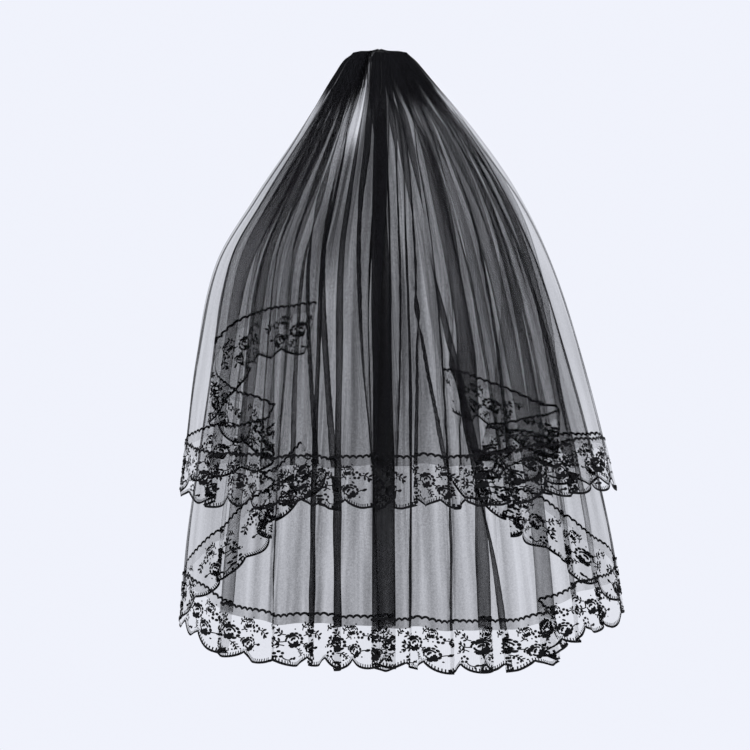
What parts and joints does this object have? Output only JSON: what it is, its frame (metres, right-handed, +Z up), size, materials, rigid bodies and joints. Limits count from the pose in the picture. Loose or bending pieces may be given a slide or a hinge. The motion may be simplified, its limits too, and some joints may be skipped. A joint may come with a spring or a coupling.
{
  "type": "two-tier mesh veil with lace edging on a hair comb",
  "caption": "Black gathered mesh veil that hangs in an outer and a longer inner tier from a hair comb, each tier edged with scalloped floral lace.",
  "frame": {"origin": "where the comb's teeth leave its spine, in the middle of the comb's width: the place where the veil pins on", "axes": "+Z up along the hanging veil, -Y towards someone who looks at the back of the veil, +X to that viewer's right"},
  "size_m": [0.6214, 0.3073, 0.8674],
  "materials": {
    "tulle": "fine black net, sheer, matt",
    "lace": "black thread lace, matt with a slight sheen",
    "comb": "smooth black plastic"
  },
  "bodies": {
    "root": {"comb": "comb", "upper_tier": "tulle", "lower_tier": "tulle", "upper_lace": "lace", "lower_lace": "lace"}
  },
  "joints": []
}
